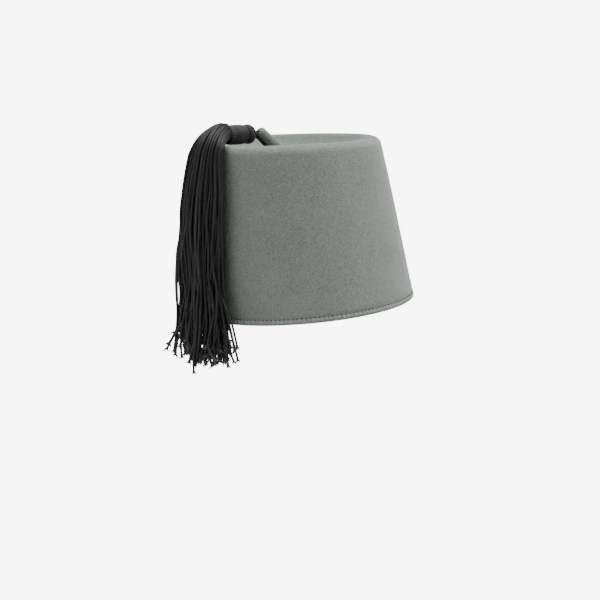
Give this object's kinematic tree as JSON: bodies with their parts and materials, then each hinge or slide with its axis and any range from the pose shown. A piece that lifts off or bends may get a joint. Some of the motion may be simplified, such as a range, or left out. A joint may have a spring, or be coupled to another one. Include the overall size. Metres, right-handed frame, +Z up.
{
  "type": "fez hat",
  "caption": "Tapered felt fez with a dented crown, a rolled felt stalk and a corded tassel that drapes over the lip and down the right side.",
  "frame": {"origin": "middle of the head opening, in the plane of the rim", "axes": "+Z up along the crown's axis, -Y the front of the hat, -X the wearer's right, where the tassel hangs"},
  "size_m": [0.2073, 0.2024, 0.1937],
  "materials": {
    "grey_felt": "matt pressed wool felt",
    "black_cord": "smooth twisted cord with a faint sheen",
    "black_thread": "close-wound thread"
  },
  "bodies": {
    "root": {"crown": "grey_felt", "stalk": "grey_felt", "tie_cord": "black_cord", "tassel_binding": "black_thread", "tassel": "black_cord"}
  },
  "joints": []
}
